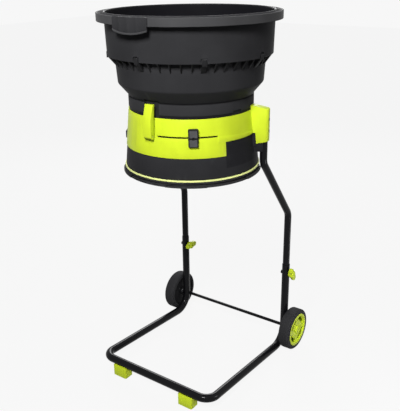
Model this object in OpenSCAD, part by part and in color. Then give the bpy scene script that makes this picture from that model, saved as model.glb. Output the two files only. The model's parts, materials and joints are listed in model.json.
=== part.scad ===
// Leaf shredder: a two-piece hopper on a shredding drum with a motor and a line cutter,
// carried by a bent-tube stand with two wheels and two front feet.
// The front faces -Y. Machine angles run from the front towards +X, seen from above.

/* [Hopper] */
// How far the rim stands out from the upper bowl
rim_out = 24; // [18:1:33]
// Height of the rim's turned-down skirt
rim_h = 27; // [22:1:34]
// How much wider the upper bowl is under the rim than at the shoulder
upper_draft = 3; // [1:1:7]
// Width of the shoulder around the lower bowl
shoulder_w = 22; // [18:1:25]
// Height of the upper bowl, from the shoulder to the skirt
upper_h = 103; // [90:1:125]
// How much wider the lower bowl is at its top than at its bottom
bowl_draft = 6; // [2:1:10]
// How far the lower bowl stands out from the band
bowl_out = 29; // [23:1:31]
// Height of the lower bowl
bowl_h = 88; // [70:1:100]
// Height of the funnel below the lower bowl
funnel_h = 34; // [28:1:42]
// Height of the neck above the band
neck_h = 46; // [43:1:54]
// Wall of both hopper pieces
hopper_wall = 3; // [2.4:0.2:3.6]
// Number of snap tabs around the shoulder
tab_count = 8; // [4:1:8]
// Number of gusset fins between two tabs
fin_count = 5; // [2:1:5]
// Angle between two gusset fins
fin_angle = 7.4; // [6:0.1:7.6]
// Thickness of a gusset fin
fin_t = 3; // [2:0.5:5]
// Height of a gusset fin on the bowl
fin_h = 29; // [20:1:36]
// Width of the grip lip under the rim
grip_w = 136; // [120:2:160]
// How far the grip lip hangs below the skirt
grip_drop = 25; // [18:1:32]

/* [Drum] */
// Height of the drum's underside above the ground
drum_floor_z = 745; // [735:1:770]
// Height of the base guard ring
guard_h = 18.5; // [16:0.5:24]
// Height of the thin trim ring
trim_h = 5; // [4:0.5:8]
// Height of the bare lower drum below the band
lower_h = 66.5; // [60:0.5:80]
// Height of the coloured band
band_h = 117; // [113:1:122]
// Outer radius of the band at its top
band_top_r = 203; // [199:1:206]
// How much wider the drum is at its bottom than at the band's top
drum_flare = 18; // [14:1:22]
// Wall of the band
band_wall = 3; // [2.6:0.2:3.4]
// Wall of the inner drum
drum_wall = 3; // [2.4:0.2:3.6]
// How far the band stands proud of the lower drum
band_proud = 1.5; // [1:0.1:1.8]
// Height of the black windows in the band at the leg sockets
window_h = 43; // [36:1:46]
// Angle that each window spans
window_span = 83; // [72:1:84]

/* [Latches] */
// Width of a latch
latch_w = 30; // [24:1:34]
// Height of a latch above its pin
latch_h = 96; // [91:1:101]
// Radius of the latch's rounded foot about its pin
latch_foot_r = 8.7; // [7.6:0.1:9]
// Height of the latch pin above the band's lower edge
latch_pin_up = 62; // [58:1:66]
// Radius of the latch pin
latch_pin_r = 2.5; // [2:0.1:3]
// Opening angle of the keeper pocket
pocket_span = 16; // [13:1:18]

/* [Selector] */
// Height of the slot above the band's lower edge
slot_up = 63; // [60:1:66]
// Height of the slot
slot_h = 5.2; // [4.6:0.2:6]
// Machine angle where the slot starts
slot_from_angle = 6.7; // [6:0.1:8]
// Machine angle where the slot ends
slot_to_angle = 58.2; // [52:0.1:60]
// Machine angle of the knob
selector_angle = 37.5; // [32:0.5:40]
// Width of the selector knob
selector_w = 30; // [26:1:34]
// Height of the selector knob
selector_h = 55; // [48:1:60]
// How far the selector knob stands out
selector_t = 11; // [10:0.5:14]

/* [Stand] */
// How far the legs stand out from the band's top
leg_out = 29; // [26:1:33]
// Distance from the drum's axis back to the rear legs
leg_back = 256; // [240:1:270]
// Distance from the drum's axis forward to the front bar
front_reach = 248; // [230:1:265]
// Distance from the drum's axis back to the leg tops
socket_back = 70; // [62:1:76]
// Height of the front bar's centre line
front_bar_z = 48.6; // [46:0.2:52]
// Height at which the ground bars would meet the rear legs
rear_bar_z = 11.5; // [11:0.5:18]
// Radius of the lower frame tube
frame_r = 14.1; // [14.1:0.1:14.6]
// Radius of the upper leg tube
upper_leg_r = 12.4; // [11.8:0.1:12.4]
// Wall of both tubes
tube_wall = 1.5; // [1.1:0.1:1.5]
// Bend radius of the lower frame at the wheels
frame_bend_r = 65; // [50:1:70]
// Bend radius of the lower frame's front corners
front_bend_r = 42; // [36:1:46]
// Bend radius of the upper legs
leg_bend_r = 45; // [35:1:55]
// Height of the top end of the lower frame
frame_top_z = 338; // [326:1:360]
// Height of the upper leg's lower bend
leg_low_bend_z = 541; // [510:1:560]
// Height of the upper leg's upper bend
leg_high_bend_z = 777; // [765:1:780]
// Height of the wing knobs
knob_z = 303; // [292:1:308]
// Length of a wing knob
wing_l = 58; // [48:1:64]
// Width of a wing knob
wing_w = 28; // [24:1:32]
// Thickness of a wing knob
wing_t = 20; // [16:1:24]
// Tilt of the right wing knob from upright
wing_tilt = 30; // [20:1:40]

/* [Wheels and feet] */
// Radius of the wheels
wheel_r = 78; // [74:1:84]
// Width of the tyres
tyre_w = 44; // [40:1:50]
// Outer radius of the hubs
hub_r = 62; // [58:1:64]
// Radius of the axle
axle_r = 6; // [5:0.5:7]
// Width of a front foot
foot_w = 58; // [50:1:64]
// Depth of a front foot
foot_d = 38; // [35:1:42]
// Height of a front foot
foot_h = 39.5; // [38:0.5:44]
// Distance from the middle to a foot's centre
foot_x = 145; // [125:1:148]

/* [Cutter and motor] */
// How far the cutting lines stop short of the band's top radius
line_short = 13; // [9:1:23]
// Radius of a cutting line
line_r = 1.35; // [1.2:0.05:1.6]
// Number of cutting lines
line_count = 4; // [2:1:6]
// Radius of the cutter head
head_r = 72; // [60:1:80]
// Outer radius of the motor pod
pod_r = 56; // [54:1:60]

/* [Hidden] */

$fn = 96;
// Overrun of every cut
cut = 1;
// Clearances: joined pieces, holes for screws, running bores, and parts that move past others
fit = 0.3;
snug = 0.1;
run = 0.05;
free = 0.5;

black = "#2c2c2e";
dark = "#1c1c1e";
lime = "#c8e02c";
steel = "#b4b6ba";
copper = "#b06a34";

// Radii, each from the one it is built on
drum_low_r = band_top_r + drum_flare;
bowl_low_r = band_top_r + bowl_out;
bowl_top_r = bowl_low_r + bowl_draft;
upper_low_r = bowl_top_r + shoulder_w;
upper_top_r = upper_low_r + upper_draft;
rim_r = upper_top_r + rim_out;
leg_x = band_top_r + leg_out;
line_reach = band_top_r - line_short;

// Levels of the drum and the hopper, from the ground up
guard_top_z = drum_floor_z + guard_h;
drum_z = guard_top_z + trim_h;
band_z = drum_z + lower_h;
band_top_z = band_z + band_h;
neck_top_z = band_top_z + neck_h;
funnel_top_z = neck_top_z + funnel_h;
shoulder_z = funnel_top_z + bowl_h;
skirt_z = shoulder_z + upper_h;
rim_z = skirt_z + rim_h;

// The drum's axis stands so that the whole object is centred on the origin
drum_y = (rim_r - leg_back - wheel_r) / 2;
rear_y = drum_y + leg_back;
front_y = drum_y - front_reach;
socket_y = drum_y + socket_back;
socket_r = norm([leg_x, socket_back]);
socket_at = 90 + atan2(socket_back, leg_x);

// Outer radius of the drum's cone at a height
function drum_r(z) = band_top_r
  + (band_top_z - z) * (drum_low_r - band_top_r) / (band_top_z - drum_z);
// Radius of the inner drum's outer and inner faces at a height
function sleeve_r(z) = drum_r(z) - band_wall - fit;
function chamber_r(z) = sleeve_r(z) - drum_wall;
// Outer radius of the lower bowl at a height
function bowl_r(z) = bowl_low_r + (bowl_top_r - bowl_low_r) * (z - funnel_top_z) / bowl_h;

function arc(centre, r, from, to, steps = 6) = [
  for (i = [0 : steps])
    let (a = from + (to - from) * i / steps)
    centre + r * [cos(a), sin(a)]
];
function unit(v) = v / norm(v);

// A machine angle on the drum, with the front as the child's -Y
module at_drum(angle = 0) {
  translate([0, drum_y, 0]) rotate([0, 0, angle]) children();
}

// The same at equal angles all round
module around(count, from = 0) {
  for (i = [0 : count - 1]) at_drum(from + i * 360 / count) children();
}

// A radius and height outline turned about the drum's axis
module turned(points) {
  at_drum() rotate_extrude() polygon(points);
}

// The same over part of the circle, centred on a machine angle
module turned_part(at, span, points) {
  at_drum(at - 90 - span / 2) rotate_extrude(angle = span) polygon(points);
}

// A block with a rectangular outline in radius and height, over part of the circle
module turned_block(at, span, r_in, r_out, z_low, z_high) {
  turned_part(at, span, [[r_in, z_low], [r_out, z_low], [r_out, z_high], [r_in, z_high]]);
}

// A radius and height outline stood up in the plane of a machine angle, with a width
module radial_plate(at, width) {
  at_drum(at) rotate([90, 0, -90]) linear_extrude(width, center = true) children();
}

// A tangent and height outline, extruded outwards along a machine angle between two radii
module facing(at, r_from, r_to) {
  at_drum(at) translate([0, -r_from, 0]) rotate([90, 0, 0]) linear_extrude(r_to - r_from) children();
}

// A solid frustum about the drum's axis, as thick as the drum's cone plus extra
module drum_cone(z_low, z_high, extra) {
  at_drum() translate([0, 0, z_low])
    cylinder(h = z_high - z_low, r1 = drum_r(z_low) + extra, r2 = drum_r(z_high) + extra);
}

// A cylinder along a machine angle, at a height, between two radii
module radial_rod(at, z, r_from, r_to, rod_r) {
  at_drum(at) translate([0, -r_from, z]) rotate([90, 0, 0]) cylinder(h = r_to - r_from, r = rod_r);
}

// A cylinder along X
module cross_rod(x_from, x_to, y, z, rod_r) {
  translate([x_from, y, z]) rotate([0, 90, 0]) cylinder(h = x_to - x_from, r = rod_r);
}

// A washer about the drum's axis
module drum_ring(z, h, r_out, r_in) {
  at_drum() translate([0, 0, z]) linear_extrude(h) ring_outline(r_out, r_in);
}

module round_box(w, d, corner) {
  square([w - 2 * corner, d], center = true);
  square([w, d - 2 * corner], center = true);
  for (sx = [-1, 1], sy = [-1, 1])
    translate([sx * (w / 2 - corner), sy * (d / 2 - corner)]) circle(corner);
}

module ring_outline(r_out, r_in) {
  difference() {
    circle(r_out);
    circle(r_in);
  }
}

// Bent tubes: straight rods and true arcs, joined by a hardly visible bead at each end of a bend
tube_bead = 0.2;
tube_gap = 0.5;
function half_angle(p, a, b) = acos(unit(a - p) * unit(b - p)) / 2;
function tangent_len(p, a, b, bend_r) = bend_r / tan(half_angle(p, a, b));
module along(a, b) {
  d = unit(b - a);
  translate(a) rotate([0, acos(d.z), atan2(d.y, d.x)]) children();
}
module bend_at(p, a, b, bend_r, r) {
  u = unit(a - p);
  v = unit(b - p);
  t = tangent_len(p, a, b, bend_r);
  centre = p + unit(u + v) * bend_r / sin(half_angle(p, a, b));
  e1 = unit(p + u * t - centre);
  e2 = unit(p + v * t - centre);
  axis = unit(cross(e1, e2));
  side = cross(axis, e1);
  multmatrix([
    [e1.x, side.x, axis.x, centre.x],
    [e1.y, side.y, axis.y, centre.y],
    [e1.z, side.z, axis.z, centre.z],
    [0, 0, 0, 1]
  ]) rotate_extrude(angle = acos(e1 * e2)) translate([bend_r, 0]) circle(r);
  for (way = [u, v]) along(p + way * t, p) sphere(r + tube_bead);
}
module bent_rod(path, bends, r, past) {
  last = len(path) - 1;
  trims = [
    for (i = [0 : last])
      i == 0 || i == last ? -past : tangent_len(path[i], path[i - 1], path[i + 1], bends[i - 1]) + tube_gap
  ];
  for (i = [0 : last - 1]) {
    d = path[i + 1] - path[i];
    along(path[i] + unit(d) * trims[i], path[i + 1])
      cylinder(h = norm(d) - trims[i] - trims[i + 1], r = r);
  }
  for (i = [1 : last - 1]) bend_at(path[i], path[i - 1], path[i + 1], bends[i - 1], r);
}
module bent_tube(path, bends, r_out, r_in) {
  difference() {
    bent_rod(path, bends, r_out, 0);
    bent_rod(path, bends, r_in, cut);
  }
}

// Upper hopper: a bowl with a rolled rim, two grip lips and a flat shoulder over the lower bowl
rim_round = 10;
rim_inner_round = 8;
spigot_h = 16;
spigot_r = bowl_top_r - hopper_wall - fit;
bowl_taper = (bowl_top_r - bowl_low_r) / bowl_h;
flute_r = 4;
flute_depth = 1.4;
flute_count = 9;
flute_pitch = 14;
grip_round = 14;
notch_w = 24;
notch_h = 18;
tab_w = 14;
tab_t = 4;
tab_up = 13;
tab_proud = 1.5;
tab_r = upper_low_r + tab_proud;

module grip_outline() {
  deep = grip_drop + rim_h / 2;
  translate([0, skirt_z - grip_drop + deep / 2]) {
    square([grip_w - 2 * grip_round, deep], center = true);
    translate([0, grip_round / 2]) square([grip_w, deep - grip_round], center = true);
    for (s = [-1, 1])
      translate([s * (grip_w / 2 - grip_round), grip_round - deep / 2]) circle(grip_round);
  }
}

// The lip that hangs below the rim's skirt, with upright flutes for the fingers
module grip_lip(at) {
  low_z = skirt_z - grip_drop;
  difference() {
    intersection() {
      drum_ring(low_z, grip_drop + rim_h / 2, rim_r, rim_r - hopper_wall);
      facing(at, rim_r / 2, rim_r + cut) grip_outline();
    }
    for (i = [0 : flute_count - 1])
      at_drum(at + asin((i - (flute_count - 1) / 2) * flute_pitch / rim_r))
        translate([0, flute_depth - rim_r - flute_r, low_z - cut])
          cylinder(h = grip_drop + cut, r = flute_r);
  }
}

module notch_outline() {
  translate([0, shoulder_z + notch_h - notch_w / 2]) circle(notch_w / 2);
  translate([-notch_w / 2, shoulder_z - cut])
    square([notch_w, notch_h - notch_w / 2 + cut]);
}

module hopper_top() {
  color(black) {
    difference() {
      turned(concat(
        [[rim_r - hopper_wall, skirt_z], [rim_r, skirt_z]],
        arc([rim_r - rim_round, rim_z - rim_round], rim_round, 0, 90),
        arc([upper_top_r - hopper_wall + rim_inner_round, rim_z - rim_inner_round],
          rim_inner_round, 90, 180),
        [
          [upper_low_r - hopper_wall, shoulder_z + hopper_wall],
          [spigot_r - hopper_wall, shoulder_z + hopper_wall],
          [spigot_r - hopper_wall - spigot_h * bowl_taper, shoulder_z - spigot_h],
          [spigot_r - spigot_h * bowl_taper, shoulder_z - spigot_h],
          [spigot_r, shoulder_z],
          [upper_low_r, shoulder_z],
          [upper_top_r, skirt_z],
          [upper_top_r, rim_z - rim_round],
          [rim_r - rim_round, rim_z - hopper_wall],
          [rim_r - hopper_wall, rim_z - rim_round]
        ]
      ));
      for (i = [0 : tab_count - 1])
        facing(i * 360 / tab_count, tab_r - tab_t - free, rim_r) notch_outline();
    }
    for (at = [0, 180]) grip_lip(at);
  }
}

// Lower hopper: bowl, funnel and neck, with gussets, snap tabs and the latch keepers
neck_r = band_top_r - band_proud;
neck_spigot_r = band_top_r - band_wall - free;
neck_in_r = neck_spigot_r - hopper_wall;
seal_h = 3;
seat_drop = 12;
seat_z = band_top_z - seat_drop;
bowl_round = 12;
fin_edge = 2;
fin_short = 2;
fin_low_z = shoulder_z - fin_h;
tab_edge = 2;
tab_root = 5;
pocket_depth = 6;
pocket_z = neck_top_z + pocket_depth;
pocket_floor_r = neck_r - pocket_depth;
pocket_back_r = pocket_floor_r - hopper_wall;
pocket_rim_span = 4;
keeper_h = 8.5;
keeper_bite = 2;
keeper_span = 8;
keeper_r = neck_r - keeper_bite;

module gusset_fin(at) {
  radial_plate(at, fin_t) polygon([
    [bowl_r(fin_low_z) - hopper_wall / 2, fin_low_z],
    [bowl_r(fin_low_z), fin_low_z],
    [upper_low_r - fin_short, shoulder_z - fin_edge],
    [upper_low_r - fin_short, shoulder_z],
    [bowl_top_r - hopper_wall / 2, shoulder_z]
  ]);
}

module snap_tab(at) {
  radial_plate(at, tab_w) polygon([
    [bowl_r(fin_low_z) - hopper_wall / 2, fin_low_z],
    [bowl_r(fin_low_z), fin_low_z],
    [tab_r, shoulder_z - tab_root],
    [tab_r, shoulder_z + tab_up - tab_edge],
    [tab_r - tab_t + tab_edge, shoulder_z + tab_up],
    [tab_r - tab_t, shoulder_z + tab_up],
    [tab_r - tab_t, shoulder_z],
    [bowl_top_r - hopper_wall / 2, shoulder_z]
  ]);
}

module hopper_base() {
  funnel_lean = atan2(bowl_low_r - neck_r, funnel_h);
  color(black) difference() {
    union() {
      turned(concat(
        [
          [bowl_top_r - hopper_wall, shoulder_z],
          [bowl_low_r - hopper_wall, funnel_top_z],
          [neck_in_r, neck_top_z],
          [neck_in_r, seat_z + seal_h],
          [neck_spigot_r, seat_z + seal_h],
          [neck_spigot_r, band_top_z],
          [neck_r, band_top_z],
          [neck_r, neck_top_z]
        ],
        arc([bowl_low_r - bowl_round, funnel_top_z + bowl_round * sin(funnel_lean)],
          bowl_round, -funnel_lean, 0),
        [[bowl_top_r, shoulder_z]]
      ));
      for (at = [0, 180])
        turned_block(at, pocket_span + pocket_rim_span, pocket_back_r, neck_in_r + hopper_wall / 2,
          seat_z + seal_h, pocket_z + hopper_wall);
      for (i = [0 : tab_count - 1]) {
        snap_tab(i * 360 / tab_count);
        for (k = [0 : fin_count - 1])
          gusset_fin((i + 1 / 2) * 360 / tab_count + (k - (fin_count - 1) / 2) * fin_angle);
      }
    }
    for (at = [0, 180]) difference() {
      turned_block(at, pocket_span, pocket_floor_r, bowl_low_r + cut, band_top_z, pocket_z);
      turned_block(at, keeper_span, pocket_back_r, keeper_r, keeper_top_z - keeper_h, keeper_top_z);
    }
  }
}

module neck_seal() {
  color(dark) drum_ring(seat_z, seal_h, neck_spigot_r, neck_in_r);
}

// Band, with the leg sockets and the latch ears
socket_w = 32;
socket_out = 16.4;
socket_roof = 15;
socket_round = 12;
socket_top_drop = 12;
socket_low_up = 8;
socket_low_rise = 10;
socket_top_z = band_top_z + socket_roof;
socket_low_z = band_z + socket_low_up;
socket_outer_r = socket_r + socket_out;
leg_top_z = band_top_z - seat_drop;
leg_bolt_r = 3;
leg_bolt_up = 49;
leg_bolt_gap = 38;
leg_bolt_zs = [band_z + leg_bolt_up, band_z + leg_bolt_up + leg_bolt_gap];
leg_bolt_root = 4;
leg_bolt_head_r = 6;
leg_bolt_head_h = 2.2;
leg_bolt_sink = 2.4;
window_top_z = band_z + window_h;
slot_z = band_z + slot_up;
latch_z = band_z + latch_pin_up;
latch_gap = 0.8;
latch_out = latch_foot_r + latch_gap;
latch_r = drum_r(latch_z) + latch_out;
latch_cheek = 3;
ear_r = 5.2;
ear_gap = 1;
ear_w = latch_w - 2 * (latch_cheek + ear_gap);

// Height of the socket's sloping underside at a radius
function socket_floor(r) = socket_low_z
  + socket_low_rise * (r - drum_r(socket_low_z)) / (socket_outer_r - drum_r(socket_low_z));

module leg_socket(at) {
  root_r = drum_r(band_top_z) - band_wall;
  difference() {
    intersection() {
      radial_plate(at, socket_w) polygon([
        [root_r, socket_floor(root_r)],
        [socket_outer_r, socket_floor(socket_outer_r)],
        [socket_outer_r, socket_top_z - socket_top_drop],
        [root_r, socket_top_z]
      ]);
      at_drum(at) translate([0, -socket_outer_r / 2, band_z]) linear_extrude(band_h + socket_roof)
        round_box(socket_w, socket_outer_r, socket_round);
    }
    drum_cone(band_z, band_top_z, snug * 2 - band_proud);
    drum_ring(band_top_z - cut, socket_roof + 2 * cut, neck_r + free, neck_in_r - socket_out);
    at_drum(at) translate([0, -socket_r, band_z])
      cylinder(h = leg_top_z - band_z + snug, r = upper_leg_r + snug);
    for (z = leg_bolt_zs) {
      radial_rod(at, z, drum_r(z) + leg_bolt_root, socket_outer_r + cut, leg_bolt_r + snug);
      radial_rod(at, z, socket_outer_r - leg_bolt_sink, socket_outer_r + cut, leg_bolt_head_r + snug);
    }
  }
}

module latch_bore(at, gap) {
  at_drum(at) translate([-latch_w / 2 - cut, -latch_r, latch_z]) rotate([0, 90, 0])
    cylinder(h = latch_w + 2 * cut, r = latch_pin_r + gap);
}

module latch_ear(at) {
  root = latch_out + band_wall;
  difference() {
    radial_plate(at, ear_w) {
      translate([latch_r, latch_z]) circle(ear_r);
      translate([latch_r - root, latch_z - ear_r]) square([root, 2 * ear_r]);
    }
    drum_cone(band_z, band_top_z, -band_wall / 2);
    latch_bore(at, run / 2);
  }
}

module selector_slot() {
  turned_block((slot_from_angle + slot_to_angle) / 2, slot_to_angle - slot_from_angle,
    ring_r, drum_r(band_z) + cut, slot_z - slot_h / 2, slot_z + slot_h / 2);
}

// Switch on the left of the band
switch_angle = -58;
switch_up = 24;
switch_z = band_z + switch_up;
switch_w = 34;
switch_h = 24;
switch_flange = 4;
switch_round = 4;
switch_body_w = 27;
switch_body_h = 17;
switch_wall = 1.6;
switch_well_d = 9;
switch_face_r = drum_r(switch_z) + switch_flange;
switch_back_r = switch_face_r - switch_well_d - 2 * switch_wall;
rocker_axle_in = 4;
rocker_tilt = 7;
rocker_dip = 1;
rocker_r = switch_face_r - rocker_axle_in;

module switch_body_outline(gap) {
  translate([0, switch_z])
    square([switch_body_w + 2 * gap, switch_body_h + 2 * gap], center = true);
}

module housing_band() {
  inside_r = chamber_r(band_top_z);
  color(lime) {
    difference() {
      drum_cone(band_z, band_top_z, 0);
      drum_cone(band_z - cut, band_top_z + cut, -band_wall);
      for (s = [-1, 1])
        turned_block(s * socket_at, window_span, inside_r, drum_r(band_z) + cut,
          band_z - cut, window_top_z);
      selector_slot();
      facing(switch_angle, inside_r, switch_face_r) switch_body_outline(fit);
    }
    for (s = [-1, 1]) leg_socket(s * socket_at);
    for (at = [0, 180]) latch_ear(at);
  }
}

// Inner drum, with its black windows and the saddles below the sockets
pad_sink = 1;
saddle_w = 30;
saddle_h = 25;
ledge_w = 5;
ledge_h = 4;
ring_h = 24;
ring_z = slot_z - ring_h / 2;
ring_r = chamber_r(ring_z + ring_h) - free;
screw_r = 2;
screw_head_r = 4;
screw_head_h = 2.6;
boss_r = 6;
boss_h = 28;
boss_screw_l = 22;
boss_at_r = chamber_r(drum_z) + drum_wall / 2 - boss_r;
boss_angle = 30;
inlet_angle = 180;
inlet_w = 46;
inlet_h = 36;
inlet_out = 16;
inlet_wall = 4;
inlet_depth = 13;
inlet_throat_w = 28;
inlet_throat_h = 22;
inlet_throat_in = 13;
inlet_z = drum_z + lower_h / 2;
inlet_face_r = drum_r(inlet_z) + inlet_out;
inlet_floor_r = inlet_face_r - inlet_depth;

module drum_saddle(at) {
  root_r = sleeve_r(socket_low_z) - drum_wall / 2;
  low_z = socket_low_z - saddle_h;
  difference() {
    radial_plate(at, saddle_w) polygon([
      [root_r, low_z],
      [socket_r, low_z],
      [socket_r, socket_floor(socket_r) - fit],
      [root_r, socket_floor(root_r) - fit]
    ]);
    at_drum(at) translate([0, -socket_r, low_z - cut])
      cylinder(h = 2 * saddle_h, r = upper_leg_r + snug);
    drum_cone(low_z - cut, band_top_z, -band_wall - fit - drum_wall / 2);
  }
}

module inlet_throat_outline(gap) {
  translate([0, inlet_z]) square([inlet_throat_w + 2 * gap, inlet_throat_h + 2 * gap], center = true);
}

module guard_holes(z_low, h, hole_r) {
  around(spoke_count, boss_angle) translate([0, -boss_at_r, z_low]) cylinder(h = h, r = hole_r);
}

module housing_drum() {
  ledge_z = ring_z - fit;
  color(black) difference() {
    union() {
      turned([
        [chamber_r(drum_z), drum_z],
        [drum_r(drum_z) - band_proud, drum_z],
        [drum_r(band_z) - band_proud, band_z],
        [sleeve_r(band_z), band_z],
        [sleeve_r(seat_z), seat_z],
        [chamber_r(seat_z), seat_z],
        [chamber_r(ledge_z), ledge_z],
        [chamber_r(ledge_z) - ledge_w, ledge_z],
        [chamber_r(ledge_z) - ledge_w, ledge_z - ledge_h / 2],
        [chamber_r(ledge_z - ledge_h - ledge_w), ledge_z - ledge_h - ledge_w]
      ]);
      for (s = [-1, 1]) {
        turned_part(s * socket_at, window_span - snug, [
          [sleeve_r(band_z) - drum_wall / 2, band_z - cut],
          [drum_r(band_z - cut) - band_proud - pad_sink, band_z - cut],
          [drum_r(window_top_z - fit) - band_proud - pad_sink, window_top_z - fit],
          [sleeve_r(window_top_z) - drum_wall / 2, window_top_z - fit]
        ]);
        drum_saddle(s * socket_at);
      }
      guard_holes(drum_z, boss_h, boss_r);
    }
    selector_slot();
    facing(switch_angle, switch_back_r - free, switch_face_r) switch_body_outline(fit);
    facing(inlet_angle, inlet_floor_r - 2 * inlet_throat_in, inlet_face_r) inlet_throat_outline(fit);
    guard_holes(drum_z - cut, boss_screw_l + 2 * cut, screw_r + snug);
  }
}

// Trim ring, base guard with its bag groove and lugs, and their screws
guard_in_r = boss_at_r - boss_r - drum_wall / 2;
trim_r = drum_r(drum_z) + band_proud;
guard_r = drum_r(drum_z);
guard_lip_out = 2.5;
guard_lip_h = 5;
groove_depth = 4.5;
groove_h = 7;
lug_out = 7;
lug_h = 7;
lug_edge = 2;
lug_count = 5;
lug_angle = 31;
lug_span = 33;
hub_ring_w = 10;
spoke_count = 6;
spoke_w = 8;
hub_ring_r = pod_r + hub_ring_w;

module trim_ring() {
  color(lime) difference() {
    drum_ring(guard_top_z, trim_h, trim_r, guard_in_r);
    guard_holes(guard_top_z - cut, trim_h + 2 * cut, screw_r + snug);
  }
}

module base_guard() {
  groove_z = drum_floor_z + guard_lip_h;
  color(black) difference() {
    union() {
      turned([
        [guard_in_r, drum_floor_z],
        [guard_r + guard_lip_out, drum_floor_z],
        [guard_r + guard_lip_out, groove_z],
        [guard_r - groove_depth, groove_z],
        [guard_r - groove_depth, groove_z + groove_h],
        [guard_r, groove_z + groove_h],
        [guard_r, guard_top_z],
        [guard_in_r, guard_top_z]
      ]);
      drum_ring(drum_floor_z, guard_h, hub_ring_r, pod_r + fit);
      around(spoke_count) translate([-spoke_w / 2, -guard_in_r - spoke_w / 2, drum_floor_z])
        cube([spoke_w, guard_in_r - hub_ring_r + spoke_w, guard_h]);
      for (i = [0 : lug_count - 1])
        turned_part(lug_angle + i * 360 / lug_count, lug_span, [
          [guard_r - groove_depth - lug_edge, drum_floor_z],
          [guard_r + lug_out - lug_edge, drum_floor_z],
          [guard_r + lug_out, drum_floor_z + lug_edge],
          [guard_r + lug_out, drum_floor_z + lug_h],
          [guard_r - groove_depth - lug_edge, drum_floor_z + lug_h]
        ]);
    }
    guard_holes(drum_floor_z - cut, guard_h + 2 * cut, screw_r + snug);
    guard_holes(drum_floor_z - cut, screw_head_h + cut, screw_head_r + snug);
    pod_holes(drum_floor_z - cut, guard_h + 2 * cut, screw_r + snug);
  }
}

module guard_screws() {
  color(steel) {
    guard_holes(drum_floor_z, screw_head_h, screw_head_r);
    guard_holes(drum_floor_z, guard_h + trim_h + boss_screw_l, screw_r);
  }
}

// Motor pod, hung in the guard's hub ring, with its cover
pod_down = 45;
pod_up = 48;
pod_low_z = drum_floor_z - pod_down;
pod_top_z = drum_z + pod_up;
pod_wall = 3;
pod_flange = 9;
pod_flange_h = 4;
pod_screw_count = 4;
pod_screw_angle = 45;
pod_screw_at_r = pod_r + fit + pod_flange / 2;
shaft_r = 4;
shaft_foot = 2;
race_r = 11;
race_h = 7;
bearing_wall = 4;
cover_h = 4;
cover_boss_h = race_h + bearing_wall / 2;
cover_lip_h = 4;
vent_w = 4;
vent_h = 14;
vent_up = 7;
vent_count = 12;
floor_z = pod_low_z + pod_wall + race_h;

module pod_holes(z_low, h, hole_r) {
  around(pod_screw_count, pod_screw_angle)
    translate([0, -pod_screw_at_r, z_low]) cylinder(h = h, r = hole_r);
}

module motor_pod() {
  color(dark) difference() {
    at_drum() {
      translate([0, 0, pod_low_z]) cylinder(h = pod_top_z - pod_low_z, r = pod_r);
      translate([0, 0, guard_top_z]) cylinder(h = pod_flange_h, r = pod_r + fit + pod_flange);
    }
    at_drum() {
      translate([0, 0, floor_z]) cylinder(h = pod_top_z - pod_low_z, r = pod_r - pod_wall);
      translate([0, 0, pod_low_z + pod_wall]) cylinder(h = race_h + cut, r = race_r + snug);
    }
    around(vent_count) translate([-vent_w / 2, -pod_r - cut, floor_z + vent_up])
      cube([vent_w, pod_wall + 2 * cut, vent_h]);
    pod_holes(guard_top_z - cut, pod_flange_h + 2 * cut, screw_r + snug);
  }
}

module motor_screws() {
  color(steel) {
    pod_holes(guard_top_z + pod_flange_h, screw_head_h, screw_head_r);
    pod_holes(drum_floor_z, guard_h + pod_flange_h + screw_head_h, screw_r);
  }
}

module motor_cover() {
  boss_z = pod_top_z - cover_boss_h;
  color(dark) difference() {
    union() {
      at_drum() {
        translate([0, 0, pod_top_z]) cylinder(h = cover_h, r = pod_r);
        translate([0, 0, boss_z]) cylinder(h = cover_boss_h + cut, r = race_r + bearing_wall);
      }
      drum_ring(pod_top_z - cover_lip_h, cover_lip_h + cut, pod_r - pod_wall - snug,
        pod_r - 2 * pod_wall);
    }
    at_drum() translate([0, 0, boss_z - cut]) {
      cylinder(h = race_h + cut, r = race_r + snug);
      cylinder(h = cover_boss_h + cover_h + 2 * cut, r = shaft_r + free);
    }
  }
}

// Motor: stator, brushes, bearings, and the rotor on its shaft
stator_h = 46;
stator_up = 36;
stator_z = pod_low_z + stator_up;
stator_w = 25;
stator_r = pod_r - stator_w;
air_gap = 0.8;
rotor_r = stator_r - air_gap;
rotor_slot_r = 3;
rotor_slots = 12;
commutator_r = 14;
commutator_h = 14;
brush_w = 10;
brush_h = 8;
brush_z = stator_z - commutator_h / 2 - brush_h / 2;
fan_gap = 4;
fan_r = pod_r - pod_wall - fan_gap;
fan_h = 10;
fan_up = 6;
fan_hub_r = 10;
fan_blades = 9;
fan_t = 2;
fan_z = stator_z + stator_h + fan_up;

module motor_stator() {
  color(steel) drum_ring(stator_z, stator_h, pod_r - pod_wall - snug, stator_r);
}

module brush_holders() {
  color(copper)
    for (at = [90, -90])
      facing(at, commutator_r + fit, pod_r - pod_wall - snug)
        translate([-brush_w / 2, brush_z]) square([brush_w, brush_h]);
}

module bearing(z) {
  color(steel) drum_ring(z, race_h, race_r, shaft_r + run);
}
module bearing_upper() bearing(pod_top_z - cover_boss_h);
module bearing_lower() bearing(pod_low_z + pod_wall);

// Cutter head with its lines, on the top of the shaft
head_gap = 14;
head_h = 20;
head_crown_r = 25;
head_edge = 5;
head_z = pod_top_z + cover_h + head_gap;
line_root_r = 20;
line_z = head_z + head_h / 2;
nut_r = 8;
nut_h = 6;
shaft_over = 3;
shaft_z = pod_low_z + pod_wall + shaft_foot;

module motor_shaft() {
  color(steel) at_drum() translate([0, 0, shaft_z])
    cylinder(h = head_z + head_h + nut_h + shaft_over - shaft_z, r = shaft_r);
}

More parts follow.
